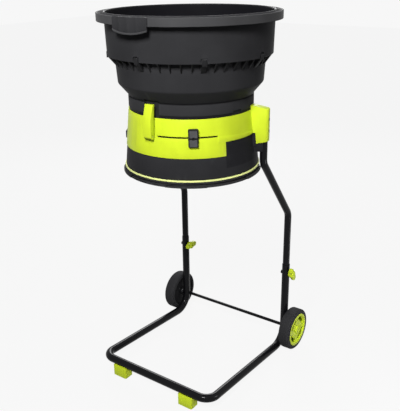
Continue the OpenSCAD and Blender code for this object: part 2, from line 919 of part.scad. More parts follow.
module motor_rotor() {
  color(copper) difference() {
    drum_ring(stator_z, stator_h, rotor_r, shaft_r);
    around(rotor_slots) translate([0, -rotor_r, stator_z - cut])
      cylinder(h = stator_h + 2 * cut, r = rotor_slot_r);
  }
}

module commutator() {
  color(copper) drum_ring(stator_z - commutator_h, commutator_h, commutator_r, shaft_r);
}

module cooling_fan() {
  color(dark) {
    turned([
      [shaft_r, fan_z],
      [fan_r, fan_z],
      [fan_r, fan_z + fan_t],
      [fan_hub_r, fan_z + fan_t],
      [fan_hub_r, fan_z + fan_h],
      [shaft_r, fan_z + fan_h]
    ]);
    around(fan_blades) translate([-fan_t / 2, fan_t - fan_r, fan_z + fan_t / 2])
      cube([fan_t, fan_r - fan_hub_r, fan_h - fan_t]);
  }
}

module cutter_head() {
  color(dark) difference() {
    turned([
      [shaft_r, head_z],
      [head_r - head_edge, head_z],
      [head_r, head_z + head_edge],
      [head_r, head_z + head_h - head_edge],
      [head_crown_r, head_z + head_h],
      [shaft_r, head_z + head_h]
    ]);
    for (i = [0 : line_count - 1])
      radial_rod(i * 360 / line_count, line_z, line_root_r, head_r + cut, line_r + run);
  }
}

module cutter_lines() {
  color(lime)
    for (i = [0 : line_count - 1])
      radial_rod(i * 360 / line_count, line_z, line_root_r, line_reach, line_r);
}

module head_nut() {
  color(steel) at_drum() translate([0, 0, head_z + head_h]) linear_extrude(nut_h)
    difference() {
      circle(nut_r, $fn = 6);
      circle(shaft_r);
    }
}

// Selector: an inner ring with vanes and a stem, and the knob outside
ring_wall = 3;
vane_count = 6;
vane_l = 22;
vane_t = 3;
stem_w = 12;
stem_h = slot_h - 2 * fit;
stem_in = 5;
selector_gap = 1;
selector_plate = 7;
selector_pad = 25;
selector_edge = 1.5;
selector_round = 3;
selector_back_r = drum_r(slot_z) + selector_gap;
selector_face_r = selector_back_r + selector_t;
stem_end_r = selector_back_r + stem_in;
thread_r = 1.5;
thread_l = 9;
thread_head_r = 3;
thread_head_h = 1.8;
thread_head_z = selector_back_r + selector_plate - thread_head_h;

module selector_ring() {
  color(dark) difference() {
    union() {
      drum_ring(ring_z, ring_h, ring_r, ring_r - ring_wall);
      around(vane_count, selector_angle) translate([-vane_t / 2, ring_wall / 2 - ring_r, ring_z])
        cube([vane_t, vane_l, ring_h]);
      facing(selector_angle, ring_r - ring_wall / 2, stem_end_r)
        translate([-stem_w / 2, slot_z - stem_h / 2]) square([stem_w, stem_h]);
    }
    radial_rod(selector_angle, slot_z, thread_head_z - thread_l, stem_end_r + cut, thread_r + run);
  }
}

module selector_knob() {
  color(dark) difference() {
    union() {
      facing(selector_angle, selector_back_r - selector_t, selector_back_r + selector_plate)
        translate([0, slot_z]) round_box(selector_w, selector_h, selector_round);
      for (s = [-1, 1])
        facing(selector_angle, selector_back_r, selector_face_r)
          translate([0, slot_z + s * (selector_h - selector_pad - 2 * selector_edge) / 2])
            round_box(selector_w - 2 * selector_edge, selector_pad, selector_round);
    }
    drum_cone(band_z, band_top_z, selector_gap);
    facing(selector_angle, selector_back_r - selector_t, stem_end_r + snug)
      translate([0, slot_z]) square([stem_w + 2 * snug, stem_h + 2 * snug], center = true);
    radial_rod(selector_angle, slot_z, stem_end_r, selector_face_r, thread_r + run);
    radial_rod(selector_angle, slot_z, thread_head_z, selector_face_r, thread_head_r + run);
  }
}

module selector_screw() {
  color(steel) {
    radial_rod(selector_angle, slot_z, thread_head_z - thread_l, thread_head_z + thread_head_h / 2,
      thread_r);
    radial_rod(selector_angle, slot_z, thread_head_z, thread_head_z + thread_head_h, thread_head_r);
  }
}

// The well in the bezel that the rocker sits in, with the bore for its stub axles
module switch_well() {
  facing(switch_angle, switch_face_r - switch_well_d, switch_face_r + cut) translate([0, switch_z])
    square([switch_body_w - 2 * switch_wall, switch_body_h - 2 * switch_wall], center = true);
  rocker_axle(switch_body_h, run);
}

module rocker_axle(l, gap) {
  at_drum(switch_angle) translate([0, -rocker_r, switch_z - l / 2])
    cylinder(h = l, r = switch_wall + gap);
}

module switch_bezel() {
  color(dark) difference() {
    union() {
      difference() {
        facing(switch_angle, switch_face_r - 2 * switch_flange, switch_face_r)
          translate([0, switch_z]) round_box(switch_w, switch_h, switch_round);
        drum_cone(band_z, band_top_z, run);
      }
      facing(switch_angle, switch_back_r, switch_face_r - switch_flange / 2) switch_body_outline(0);
    }
    switch_well();
  }
}

module switch_rocker() {
  half_w = switch_body_w / 2 - switch_wall - 2 * free;
  tall = switch_body_h - 2 * switch_wall - 2 * free;
  color(dark) {
    at_drum(switch_angle) translate([0, -rocker_r, switch_z - tall / 2]) rotate([0, 0, rocker_tilt])
      linear_extrude(tall) polygon([
        [-half_w, -rocker_axle_in - switch_wall],
        [0, rocker_dip - rocker_axle_in - switch_wall],
        [half_w, -rocker_axle_in - switch_wall],
        [half_w / 2, 2 * switch_wall],
        [-half_w / 2, 2 * switch_wall]
      ]);
    rocker_axle(switch_body_h - 2 * fit, 0);
  }
}

// Power inlet on the back of the lower drum
pin_r = 2;
pin_l = 8;
pin_root = 4;
pin_spread = 9;

module inlet_pin_set(gap) {
  for (s = [-1, 0, 1])
    facing(inlet_angle, inlet_floor_r - pin_root, inlet_floor_r + pin_l)
      translate([s * pin_spread, inlet_z + (s == 0 ? pin_r : -pin_r)]) circle(pin_r + gap);
}

module power_inlet() {
  color(dark) difference() {
    union() {
      difference() {
        facing(inlet_angle, inlet_floor_r - inlet_depth, inlet_face_r)
          translate([0, inlet_z]) round_box(inlet_w, inlet_h, inlet_wall);
        drum_cone(drum_z, band_z, snug - band_proud);
      }
      facing(inlet_angle, inlet_floor_r - inlet_throat_in, inlet_floor_r - snug) inlet_throat_outline(0);
    }
    facing(inlet_angle, inlet_floor_r, inlet_face_r + cut) translate([0, inlet_z])
      round_box(inlet_w - 2 * inlet_wall, inlet_h - 2 * inlet_wall, inlet_wall);
    inlet_pin_set(run);
  }
}

module inlet_pins() {
  color(steel) inlet_pin_set(0);
}

// Latches that hold the hopper on the drum
latch_arm_t = 6;
latch_arm_h = 12;
latch_cover_angle = 35;
latch_knee_h = 48;
latch_lean = 14;
hook_drop = 9;
hook_h = 6.5;
hook_w = 18;
hook_r = keeper_r - keeper_bite;
keeper_top_z = latch_z + latch_h - hook_drop;

module latch_side() {
  foot = latch_foot_r;
  tip = foot - latch_lean;
  circle(foot);
  polygon([
    [-foot, 0],
    [foot, 0],
    [foot, latch_knee_h],
    [tip, latch_h],
    [tip - latch_arm_t, latch_h],
    [tip - latch_arm_t, latch_h - latch_arm_h],
    [-foot, latch_knee_h]
  ]);
}

module latch_hollow() {
  inner = latch_foot_r - latch_cheek;
  past = latch_foot_r + cut;
  polygon(concat(arc([0, 0], inner, -latch_cover_angle, 0), [
    [inner, latch_knee_h],
    [-past, latch_knee_h],
    [-past, -past],
    [past * cos(latch_cover_angle), -past],
    [past * cos(latch_cover_angle), -past * sin(latch_cover_angle)]
  ]));
}

module latch(at) {
  color(lime) difference() {
    at_drum(at) translate([0, -latch_r, latch_z]) rotate([90, 0, -90]) {
      difference() {
        linear_extrude(latch_w, center = true) latch_side();
        linear_extrude(latch_w - 2 * latch_cheek, center = true) latch_hollow();
      }
      linear_extrude(hook_w, center = true)
        translate([hook_r - latch_r, keeper_top_z + free - latch_z])
          square([latch_foot_r - latch_lean - latch_arm_t / 2 - hook_r + latch_r, hook_h]);
    }
    latch_bore(at, run);
  }
}

module latch_front() latch(0);
module latch_rear() latch(180);

module latch_pins() {
  color(steel)
    for (at = [0, 180])
      at_drum(at) translate([-latch_w / 2, -latch_r, latch_z]) rotate([0, 90, 0])
        cylinder(h = latch_w, r = latch_pin_r);
}

// Stand: upper legs, lower frame, and the bolts that join them
leg_insert = 80;
knob_bolt_r = 3;
knob_head_r = 7;
knob_head_h = 4;
knob_bolt_short = 4;

module upper_leg(s) {
  path = [
    [s * leg_x, socket_y, leg_top_z],
    [s * leg_x, socket_y, leg_high_bend_z],
    [s * leg_x, rear_y, leg_low_bend_z],
    [s * leg_x, rear_y, frame_top_z - leg_insert]
  ];
  color(dark) difference() {
    bent_tube(path, [leg_bend_r, leg_bend_r], upper_leg_r, upper_leg_r - tube_wall);
    for (z = leg_bolt_zs)
      radial_rod(s * socket_at, z, socket_r - 2 * upper_leg_r, socket_r + 2 * upper_leg_r,
        leg_bolt_r + snug);
    cross_rod(s * leg_x - 2 * upper_leg_r, s * leg_x + 2 * upper_leg_r, rear_y, knob_z,
      knob_bolt_r + snug);
  }
}
module upper_leg_left() upper_leg(-1);
module upper_leg_right() upper_leg(1);

module lower_frame() {
  path = [
    [leg_x, rear_y, frame_top_z],
    [leg_x, rear_y, rear_bar_z],
    [leg_x, front_y, front_bar_z],
    [-leg_x, front_y, front_bar_z],
    [-leg_x, rear_y, rear_bar_z],
    [-leg_x, rear_y, frame_top_z]
  ];
  color(dark) difference() {
    bent_tube(path, [frame_bend_r, front_bend_r, front_bend_r, frame_bend_r], frame_r, frame_r - tube_wall);
    for (s = [-1, 1]) {
      cross_rod(s * leg_x - 2 * frame_r, s * leg_x + 2 * frame_r, rear_y, wheel_r, axle_r + snug);
      cross_rod(s * leg_x - 2 * frame_r, s * leg_x + 2 * frame_r, rear_y, knob_z, knob_bolt_r + snug);
      translate([s * foot_x, front_y, front_bar_z - 2 * frame_r])
        cylinder(h = 2 * frame_r, r = foot_screw_r + snug);
    }
  }
}

module leg_bolts() {
  color(steel)
    for (s = [-1, 1], z = leg_bolt_zs) {
      head_r = socket_outer_r - leg_bolt_sink;
      radial_rod(s * socket_at, z, drum_r(z) + leg_bolt_root, head_r + leg_bolt_head_h / 2, leg_bolt_r);
      radial_rod(s * socket_at, z, head_r, head_r + leg_bolt_head_h, leg_bolt_head_r);
    }
}

module knob_bolts() {
  color(steel)
    for (s = [-1, 1]) {
      inner_x = s * leg_x - frame_r;
      cross_rod(inner_x - knob_head_h, inner_x, rear_y, knob_z, knob_head_r);
      cross_rod(inner_x - knob_head_h / 2, s * leg_x + frame_r + wing_t - knob_bolt_short, rear_y, knob_z,
        knob_bolt_r);
    }
}

// Wing knob: a boss on the bolt and an oval wing with a thicker middle
wing_boss_r = 11;
wing_tip_r = 10;
wing_plate_t = 11;
wing_plate_in = 7;
module wing_knob(s, tilt) {
  color(lime) translate([s * leg_x + frame_r + fit, rear_y, knob_z]) rotate([tilt, 0, 0])
    difference() {
      rotate([90, 0, 90]) {
        linear_extrude(wing_t) circle(wing_boss_r);
        translate([0, 0, wing_plate_in]) linear_extrude(wing_plate_t) {
          circle(wing_w / 2);
          square([2 * wing_tip_r, wing_l - 2 * wing_tip_r], center = true);
          for (e = [-1, 1]) translate([0, e * (wing_l / 2 - wing_tip_r)]) circle(wing_tip_r);
        }
      }
      cross_rod(-cut, wing_t + cut, 0, 0, knob_bolt_r + run);
    }
}
module knob_left() wing_knob(-1, 90);
module knob_right() wing_knob(1, wing_tilt);

// Wheels, built for the right side and mirrored
wheel_gap = 2;
wheel_in_x = leg_x + frame_r + wheel_gap;
wheel_out_x = wheel_in_x + tyre_w;
tyre_round = 9;
bush_r = 9;
bush_flange_r = 13;
bush_flange_h = 1.6;
bush_in_x = leg_x + frame_r + fit;
hub_sink = 4;
hub_inner_sink = 4;
hub_rim = 9;
hub_band = 4.5;
hub_web = 6;
hub_boss_r = 16;
hub_slot_count = 4;
hub_slot_span = 62;
hub_slot_in_r = 36;
hub_slot_out_r = 50;
push_nut_r = 9;
push_nut_h = 3;
cap_r = 14;
cap_h = 4;
cap_round = 3;
cap_gap = 1.5;
hub_face_x = wheel_out_x - hub_sink;
axle_end_x = hub_face_x - cap_h - cap_gap;
bush_end_x = axle_end_x - push_nut_h - free;

module at_wheel(s) {
  translate([0, rear_y, wheel_r]) mirror([s < 0 ? 1 : 0, 0, 0]) rotate([90, 0, 90]) children();
}

module tyre(s) {
  color(dark) at_wheel(s) rotate_extrude() polygon(concat(
    [[hub_r, wheel_in_x]],
    arc([wheel_r - tyre_round, wheel_in_x + tyre_round], tyre_round, -90, 0),
    arc([wheel_r - tyre_round, wheel_out_x - tyre_round], tyre_round, 0, 90),
    [[hub_r, wheel_out_x]]
  ));
}

module hub(s) {
  color(lime) at_wheel(s) difference() {
    rotate_extrude() polygon([
      [bush_r, wheel_in_x + bush_flange_h],
      [hub_boss_r, wheel_in_x + bush_flange_h],
      [hub_boss_r, hub_face_x - hub_web],
      [hub_r - hub_band, hub_face_x - hub_web],
      [hub_r - hub_band, wheel_in_x + hub_inner_sink],
      [hub_r, wheel_in_x + hub_inner_sink],
      [hub_r, wheel_out_x],
      [hub_r - hub_rim, wheel_out_x],
      [hub_r - hub_rim, hub_face_x],
      [cap_r + snug, hub_face_x],
      [cap_r + snug, hub_face_x - cap_h],
      [push_nut_r + free, hub_face_x - cap_h],
      [push_nut_r + free, bush_end_x],
      [bush_r, bush_end_x]
    ]);
    for (i = [0 : hub_slot_count - 1])
      rotate([0, 0, (i + 1 / 2) * 360 / hub_slot_count - hub_slot_span / 2])
        rotate_extrude(angle = hub_slot_span)
          translate([hub_slot_in_r, hub_face_x - hub_web - cut])
            square([hub_slot_out_r - hub_slot_in_r, hub_web + 2 * cut]);
  }
}

module bush(s) {
  color(steel) at_wheel(s) rotate_extrude() polygon([
    [axle_r + run, bush_in_x],
    [bush_flange_r, bush_in_x],
    [bush_flange_r, wheel_in_x + bush_flange_h],
    [bush_r, wheel_in_x + bush_flange_h],
    [bush_r, bush_end_x],
    [axle_r + run, bush_end_x]
  ]);
}

module hub_cap(s) {
  color(lime) at_wheel(s) rotate_extrude() polygon(concat(
    [[0, hub_face_x - cap_h], [cap_r, hub_face_x - cap_h]],
    arc([cap_r - cap_round, wheel_out_x - cap_round], cap_round, 0, 90),
    [[0, wheel_out_x]]
  ));
}

// Black disc that closes the wheel's inner side
back_sink = 1;
back_t = 3;

module wheel_back(s) {
  color(dark) at_wheel(s) translate([0, 0, wheel_in_x + hub_inner_sink + back_sink])
    linear_extrude(back_t) ring_outline(hub_r - hub_band - snug, hub_boss_r + snug);
}

module tyre_left() tyre(-1);
module tyre_right() tyre(1);
module hub_left() hub(-1);
module hub_right() hub(1);
module bush_left() bush(-1);
module bush_right() bush(1);
module cap_left() hub_cap(-1);
module cap_right() hub_cap(1);
module wheel_back_left() wheel_back(-1);
module wheel_back_right() wheel_back(1);

module axle() {
  color(dark) cross_rod(-axle_end_x, axle_end_x, rear_y, wheel_r, axle_r);
}

module push_nuts() {
  color(steel)
    for (s = [-1, 1])
      at_wheel(s) translate([0, 0, axle_end_x - push_nut_h]) linear_extrude(push_nut_h)
        ring_outline(push_nut_r, axle_r);
}

// Front feet, saddled on the front bar and screwed to it from below
foot_round = 6;
foot_screw_r = 2.5;
foot_screw_head_r = 5;
foot_screw_head_h = 4;
foot_screw_past = 6;
foot_well = 8;

module foot(s) {
  color(lime) translate([s * foot_x, front_y, 0]) difference() {
    linear_extrude(foot_h) round_box(foot_w, foot_d, foot_round);
    cross_rod(-foot_w, foot_w, 0, front_bar_z, frame_r + run);
    translate([0, 0, -cut]) {
      cylinder(h = front_bar_z, r = foot_screw_r + snug);
      cylinder(h = foot_well + cut, r = foot_screw_head_r + free);
    }
  }
}
module foot_left() foot(-1);
module foot_right() foot(1);

module foot_screws() {
  head_z = foot_well - foot_screw_head_h;
  color(steel)
    for (s = [-1, 1]) translate([s * foot_x, front_y, head_z]) {
      cylinder(h = foot_screw_head_h, r = foot_screw_head_r);
      cylinder(h = front_bar_z - frame_r + foot_screw_past - head_z, r = foot_screw_r);
    }
}

hopper_top();
hopper_base();
neck_seal();
housing_band();
housing_drum();
trim_ring();
base_guard();
guard_screws();
motor_pod();
motor_cover();
motor_screws();
motor_stator();
brush_holders();
bearing_upper();
bearing_lower();
motor_shaft();
motor_rotor();
commutator();
cooling_fan();
cutter_head();
cutter_lines();
head_nut();
selector_ring();
selector_knob();
selector_screw();
switch_bezel();
switch_rocker();
power_inlet();
inlet_pins();
latch_front();
latch_rear();
latch_pins();
upper_leg_left();
upper_leg_right();
lower_frame();
leg_bolts();
knob_bolts();
knob_left();
knob_right();
axle();
push_nuts();
tyre_left();
hub_left();
bush_left();
cap_left();
tyre_right();
hub_right();
bush_right();
cap_right();
foot_left();
foot_right();
foot_screws();
wheel_back_left();
wheel_back_right();
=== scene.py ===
import json
import math

import bpy
from mathutils import Matrix, Vector


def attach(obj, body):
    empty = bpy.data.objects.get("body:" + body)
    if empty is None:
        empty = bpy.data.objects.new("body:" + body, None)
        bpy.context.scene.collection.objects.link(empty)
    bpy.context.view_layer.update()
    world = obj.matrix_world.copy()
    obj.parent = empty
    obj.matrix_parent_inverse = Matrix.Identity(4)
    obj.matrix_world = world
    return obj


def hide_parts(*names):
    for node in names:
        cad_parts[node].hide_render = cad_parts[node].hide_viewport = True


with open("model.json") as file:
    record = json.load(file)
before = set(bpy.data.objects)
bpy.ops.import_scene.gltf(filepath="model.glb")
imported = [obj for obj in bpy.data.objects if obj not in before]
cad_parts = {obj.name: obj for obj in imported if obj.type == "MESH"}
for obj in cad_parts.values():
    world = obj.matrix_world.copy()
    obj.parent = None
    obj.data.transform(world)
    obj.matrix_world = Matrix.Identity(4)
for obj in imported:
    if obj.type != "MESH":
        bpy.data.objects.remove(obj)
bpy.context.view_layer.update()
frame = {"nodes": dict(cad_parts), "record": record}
nodes = frame["nodes"]
slotOf = {row["node"]: row["material_slot"] for row in frame["record"]["subparts"]}
scene = bpy.context.scene
scene.view_settings.view_transform = "Standard"

mm = 0.001
drumY = -0.0235  # axis of the drum and the hopper
print("frame loaded", len(nodes), "nodes")


# camera

viewPlan = {
    "eye": (1.2018, -1.6469, 1.3871),
    "heading": 36.5147,
    "yaw": -0.6547,
    "pitch": 21.2209,
    "roll": -0.8349,
    "lens": 55.18,
    "reach": 60,
}


def placeCamera(plan):
    turn = math.radians(plan["heading"] + plan["yaw"])
    dip = math.radians(plan["pitch"])
    roll = math.radians(plan["roll"])
    ahead = Vector((-math.sin(turn) * math.cos(dip),
                    math.cos(turn) * math.cos(dip),
                    -math.sin(dip)))
    right = Vector((math.cos(turn), math.sin(turn), 0))
    up = right.cross(ahead)
    across = right * math.cos(roll) + up * math.sin(roll)
    over = up * math.cos(roll) - right * math.sin(roll)
    bpy.ops.object.camera_add()
    camera = bpy.context.object
    camera.name = "photoCamera"
    camera.data.lens = plan["lens"]
    camera.data.clip_end = plan["reach"]
    camera.matrix_world = Matrix((
        (across.x, over.x, -ahead.x, plan["eye"][0]),
        (across.y, over.y, -ahead.y, plan["eye"][1]),
        (across.z, over.z, -ahead.z, plan["eye"][2]),
        (0, 0, 0, 1)))
    scene.camera = camera


# light and floor

studioPlan = {
    "skyOnSurfaces": 0.09,
    "skySeen": 0.93,
    "lamps": {
        "keyLamp": {"at": (0.76, -1.97, 2.43), "to": (0, 0, 0.95),
                    "size": (0.65, 0.65), "watts": 86},
        "fillLamp": {"at": (2.7, 0.4, 2.0), "to": (0, 0, 0.9),
                     "size": (1.2, 1.8), "watts": 3},
        "wheelLamp": {"at": (1.1, 0.1, 0.35), "to": (0.3, 0.23, 0.1),
                      "size": (0.3, 0.3), "watts": 3},
        "topLamp": {"at": (-0.4, -0.9, 3.3), "to": (0, 0, 1.0),
                    "size": (1.4, 0.9), "watts": 3},
        "backLamp": {"at": (-1.7, 2.3, 1.9), "to": (0, 0, 0.9),
                     "size": (1.2, 1.6), "watts": 55},
    },
}
floorPlan = {"size": 24, "z": -0.0006, "grey": 0.32, "rough": 0.9, "spec": 0.1, "glow": 0.90}


def spread(tree, source, before, after):
    node = tree.nodes.new("ShaderNodeMapRange")
    node.inputs["From Min"].default_value, node.inputs["From Max"].default_value = before
    node.inputs["To Min"].default_value, node.inputs["To Max"].default_value = after
    tree.links.new(source, node.inputs["Value"])
    return node.outputs["Result"]


def seenRays(tree):
    path = tree.nodes.new("ShaderNodeLightPath")
    total = path.outputs["Is Camera Ray"]
    for ray in ("Is Glossy Ray", "Is Transmission Ray"):
        either = tree.nodes.new("ShaderNodeMath")
        either.operation = "MAXIMUM"
        tree.links.new(total, either.inputs[0])
        tree.links.new(path.outputs[ray], either.inputs[1])
        total = either.outputs[0]
    return total


def lightStudio(plan):
    world = bpy.data.worlds.new("studioSky")
    scene.world = world
    world.use_nodes = True
    tree = world.node_tree
    sky = tree.nodes["Background"]
    sky.inputs["Color"].default_value = (1, 1, 1, 1)
    level = spread(tree, seenRays(tree), (0, 1), (plan["skyOnSurfaces"], plan["skySeen"]))
    tree.links.new(level, sky.inputs["Strength"])
    for name, lamp in plan["lamps"].items():
        bpy.ops.object.light_add(type="AREA", location=lamp["at"])
        light = bpy.context.object
        light.name = name
        light.data.shape = "RECTANGLE"
        light.data.size, light.data.size_y = lamp["size"]
        light.data.energy = lamp["watts"]
        aim = Vector(lamp["to"]) - Vector(lamp["at"])
        light.rotation_euler = aim.to_track_quat("-Z", "Y").to_euler()


def layFloor(plan):
    letGo()
    bpy.ops.mesh.primitive_plane_add(size=plan["size"], location=(0, 0, plan["z"]))
    floor = bpy.context.object
    floor.name = "studioFloor"
    fixPlace()
    paper = bpy.data.materials.new("whitePaper")
    paper.use_nodes = True
    tree = paper.node_tree
    matte = tree.nodes["Principled BSDF"]
    matte.inputs["Base Color"].default_value = (plan["grey"], plan["grey"], plan["grey"], 1)
    matte.inputs["Roughness"].default_value = plan["rough"]
    matte.inputs["Specular IOR Level"].default_value = plan["spec"]
    glow = tree.nodes.new("ShaderNodeEmission")
    share = tree.nodes.new("ShaderNodeMath")
    share.operation = "MULTIPLY"
    share.inputs[1].default_value = plan["glow"]
    tree.links.new(seenRays(tree), share.inputs[0])
    mix = tree.nodes.new("ShaderNodeMixShader")
    tree.links.new(share.outputs[0], mix.inputs["Fac"])
    tree.links.new(matte.outputs[0], mix.inputs[1])
    tree.links.new(glow.outputs[0], mix.inputs[2])
    tree.links.new(mix.outputs[0], tree.nodes["Material Output"].inputs["Surface"])
    floor.data.materials.append(paper)


# ways to make, move and mark pieces

spinGap = 0.005 * mm  # points of a spun block that are joined
meshGap = 0.01 * mm  # points of a solid's mesh that are joined
flatAngle = 0.4  # faces of a solid's mesh that count as one
smoothAngle = 38
leastInward = 0.3  # share of a face's normal that points to the axis


def letGo():
    bpy.ops.object.select_all(action="DESELECT")


def fixPlace():
    bpy.ops.object.transform_apply(location=True, rotation=True, scale=True)


def leaveEdit():
    bpy.ops.object.mode_set(mode="OBJECT")


def takeUp(piece):
    letGo()
    piece.select_set(True)
    bpy.context.view_layer.objects.active = piece


def editAll(piece, kind):
    takeUp(piece)
    bpy.ops.object.mode_set(mode="EDIT")
    bpy.ops.mesh.select_mode(type=kind)
    bpy.ops.mesh.select_all(action="SELECT")


def settle(piece, at):
    takeUp(piece)
    piece.location = Vector(piece.location) + Vector(at)
    fixPlace()


def turnAbout(piece, angle):
    takeUp(piece)
    piece.rotation_euler = (0, 0, math.radians(angle))
    fixPlace()


def again(piece, angle):
    twin = piece.copy()
    twin.data = piece.data.copy()
    scene.collection.objects.link(twin)
    turnAbout(twin, angle)
    return twin


def clearPick(piece, kind):
    editAll(piece, kind)
    bpy.ops.mesh.select_all(action="DESELECT")
    leaveEdit()


def pickFaces(piece, test):
    clearPick(piece, "FACE")
    for face in piece.data.polygons:
        face.select = test(face.center, face.normal)
    bpy.ops.object.mode_set(mode="EDIT")


def movePoints(piece, test, by):
    clearPick(piece, "VERT")
    for point in piece.data.vertices:
        point.select = test(point.co)
    bpy.ops.object.mode_set(mode="EDIT")
    bpy.ops.transform.translate(value=by)
    leaveEdit()


def moveOuterEdge(piece, upper, by):
    points = [point.co.copy() for point in piece.data.vertices]
    middle = sum(points, Vector()) / len(points)
    movePoints(piece, lambda p: p.y < middle.y and (p.z > middle.z) == upper, by)


def softenEdges(piece, width, angle, steps=2):
    takeUp(piece)
    bevel = piece.modifiers.new("softEdge", "BEVEL")
    bevel.width = width * mm
    bevel.segments = steps
    bevel.limit_method = "ANGLE"
    bevel.angle_limit = math.radians(angle)
    bpy.ops.object.modifier_apply(modifier="softEdge")


def smoothOver(piece, angle=smoothAngle):
    takeUp(piece)
    bpy.ops.object.shade_smooth_by_angle(angle=math.radians(angle))


def carve(piece, tool):
    takeUp(piece)
    cut = piece.modifiers.new("cut", "BOOLEAN")
    cut.operation = "DIFFERENCE"
    cut.solver = "EXACT"
    cut.object = tool
    bpy.ops.object.modifier_apply(modifier="cut")
    bpy.data.objects.remove(tool)


def weld(pieces, name):
    letGo()
    for piece in pieces:
        piece.select_set(True)
    bpy.context.view_layer.objects.active = pieces[0]
    if len(pieces) > 1:
        bpy.ops.object.join()
    pieces[0].name = name
    return pieces[0]


def scoreFaces(piece, through, way):
    editAll(piece, "FACE")
    bpy.ops.mesh.bisect(plane_co=through, plane_no=way)
    leaveEdit()


def bow(middleR, middleZ, radius, start, end, steps):
    points = []
    for i in range(steps + 1):
        a = math.radians(start + (end - start) * i / steps)
        points.append((middleR + radius * math.cos(a), middleZ + radius * math.sin(a)))
    return points


def turnRings(name, outline, sides):
    letGo()
    r, z = outline[0]
    bpy.ops.mesh.primitive_circle_add(vertices=sides, radius=r * mm, location=(0, 0, z * mm))
    piece = bpy.context.object
    piece.name = name
    fixPlace()
    editAll(piece, "VERT")
    for nextR, nextZ in outline[1:]:
        rise = {"value": (0, 0, (nextZ - z) * mm)}
        bpy.ops.mesh.extrude_region_move(TRANSFORM_OT_translate=rise)
        bpy.ops.transform.resize(value=(nextR / r, nextR / r, 1))
        r, z = nextR, nextZ
    bpy.ops.mesh.select_all(action="DESELECT")
    bpy.ops.mesh.select_mode(type="EDGE")
    bpy.ops.mesh.select_non_manifold()
    bpy.ops.mesh.bridge_edge_loops()
    bpy.ops.mesh.select_all(action="SELECT")
    bpy.ops.mesh.normals_make_consistent(inside=False)
    leaveEdit()
    return piece


def spinBlock(name, rIn, rOut, zLow, zHigh, at, span, steps):
    letGo()
    turn = math.radians(at - span / 2)
    mid = (rIn + rOut) / 2 * mm
    bpy.ops.mesh.primitive_plane_add(
        size=1,
        location=(mid * math.sin(turn), -mid * math.cos(turn), (zLow + zHigh) / 2 * mm),
        rotation=(math.pi / 2, 0, turn - math.pi / 2))
    piece = bpy.context.object
    piece.name = name
    piece.scale = ((rOut - rIn) * mm, (zHigh - zLow) * mm, 1)
    fixPlace()
    editAll(piece, "FACE")
    bpy.ops.mesh.spin(steps=steps, angle=-math.radians(span), center=(0, 0, 0), axis=(0, 0, 1))
    bpy.ops.mesh.select_all(action="SELECT")
    bpy.ops.mesh.remove_doubles(threshold=spinGap)
    bpy.ops.mesh.normals_make_consistent(inside=False)
    leaveEdit()
    return piece


def block(name, low, high):
    letGo()
    middle = [(a + b) / 2 * mm for a, b in zip(low, high)]
    bpy.ops.mesh.primitive_cube_add(size=1, location=middle)
    piece = bpy.context.object
    piece.name = name
    piece.scale = [(b - a) * mm for a, b in zip(low, high)]
    fixPlace()
    return piece


def dressNode(node, name, width):
    piece = bpy.data.objects.new(name, nodes[node].data.copy())
    scene.collection.objects.link(piece)
    editAll(piece, "VERT")
    bpy.ops.mesh.remove_doubles(threshold=meshGap)
    bpy.ops.mesh.dissolve_limited(angle_limit=math.radians(flatAngle))
    leaveEdit()
    if width:
        softenEdges(piece, width, smoothAngle)
    smoothOver(piece)
    return piece


def handOver(piece, body, finish, stoodFor):
    piece.data.materials.clear()
    piece.data.materials.append(finishes[finish])
    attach(piece, body)
    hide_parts(stoodFor)


def tint(piece, finish, test):
    piece.data.materials.append(finishes[finish])
    spot = len(piece.data.materials) - 1
    for face in piece.data.polygons:
        if test(face.center, face.normal):
            face.material_index = spot


def fromAxis(point):
    return math.hypot(point.x, point.y - drumY) / mm


def bearing(point, middleY=0):
    return math.degrees(math.atan2(point.x, middleY - point.y))


def looksInward(point, normal):
    outward = point.x * normal.x + (point.y - drumY) * normal.y
    return outward < -leastInward * fromAxis(point) * mm


placeCamera(viewPlan)
lightStudio(studioPlan)
layFloor(floorPlan)
print("camera, light and floor set")


# finishes: every one varies in colour, gloss and surface on the object's own coordinates

